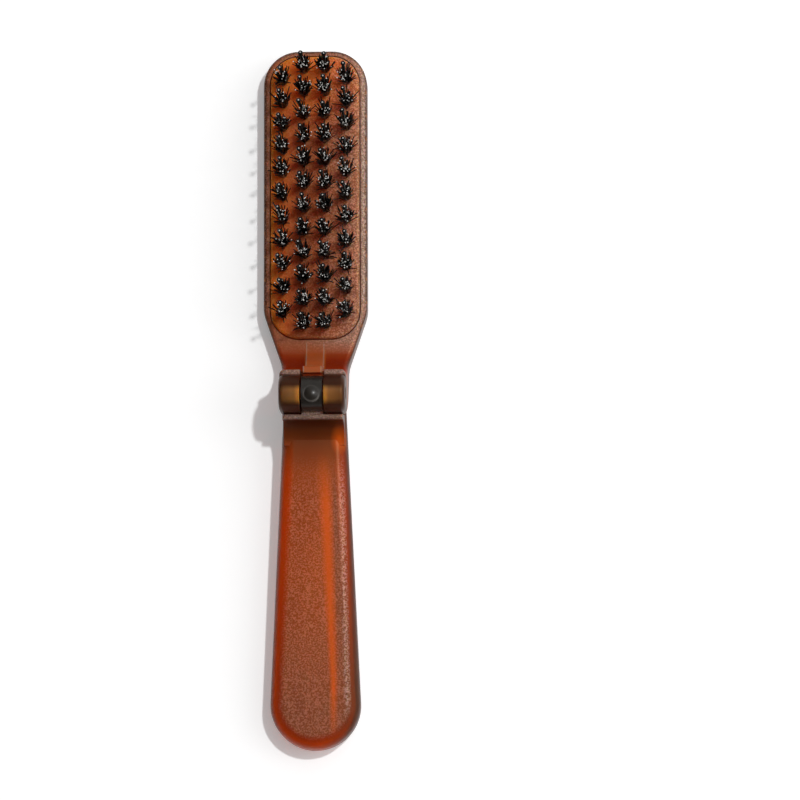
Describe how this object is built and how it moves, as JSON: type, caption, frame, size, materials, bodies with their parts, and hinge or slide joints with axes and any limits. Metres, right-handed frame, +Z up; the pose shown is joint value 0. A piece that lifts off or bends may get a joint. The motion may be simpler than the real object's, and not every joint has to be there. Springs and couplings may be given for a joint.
{
  "type": "folding travel brush",
  "caption": "Folding travel hair brush: a tapered grip hinged to a rectangular bristle head, with a domed release button in the hinge and ball-tipped pins among the bristle tufts.",
  "frame": {"origin": "on the table, under the middle of the open brush", "axes": "+X across the brush, to the right when looked at from above with the head away from the viewer, +Y from the hinge to the tip of the head, +Z up, the way the bristles point"},
  "size_m": [0.0264, 0.1799, 0.0264],
  "materials": {
    "amber_plastic": "satin translucent",
    "amber_pad": "satin",
    "black_plastic": "gloss",
    "black_nylon": "satin",
    "bright_steel": "satin",
    "brass_wire": "plain"
  },
  "bodies": {
    "handle": {"handle": "amber_plastic", "button_spring": "bright_steel"},
    "head": {"head_frame": "amber_plastic", "bristle_plate": "amber_pad", "hinge_pin_left": "amber_plastic", "hinge_pin_right": "amber_plastic", "tufts_left_outer": "black_nylon", "ball_pins_left_outer": "black_nylon", "anchors_left_outer": "brass_wire", "tufts_left_inner": "black_nylon", "ball_pins_left_inner": "black_nylon", "anchors_left_inner": "brass_wire", "tufts_right_inner": "black_nylon", "ball_pins_right_inner": "black_nylon", "anchors_right_inner": "brass_wire", "tufts_right_outer": "black_nylon", "ball_pins_right_outer": "black_nylon", "anchors_right_outer": "brass_wire"},
    "button": {"release_button": "black_plastic", "lock_pin": "amber_plastic"}
  },
  "joints": [
    {"name": "fold", "type": "hinge", "parent": "handle", "child": "head", "pos_m": [0, -0.00125, 0.0206], "axis": [1, 0, 0], "range_deg": [0, 180]},
    {"name": "button_press", "type": "slide", "parent": "handle", "child": "button", "axis": [0, 0, -1], "range_m": [0, 0.0009], "stiffness_N_per_m": 800, "springref_m": -0.001, "deforming": ["button_spring"]}
  ]
}
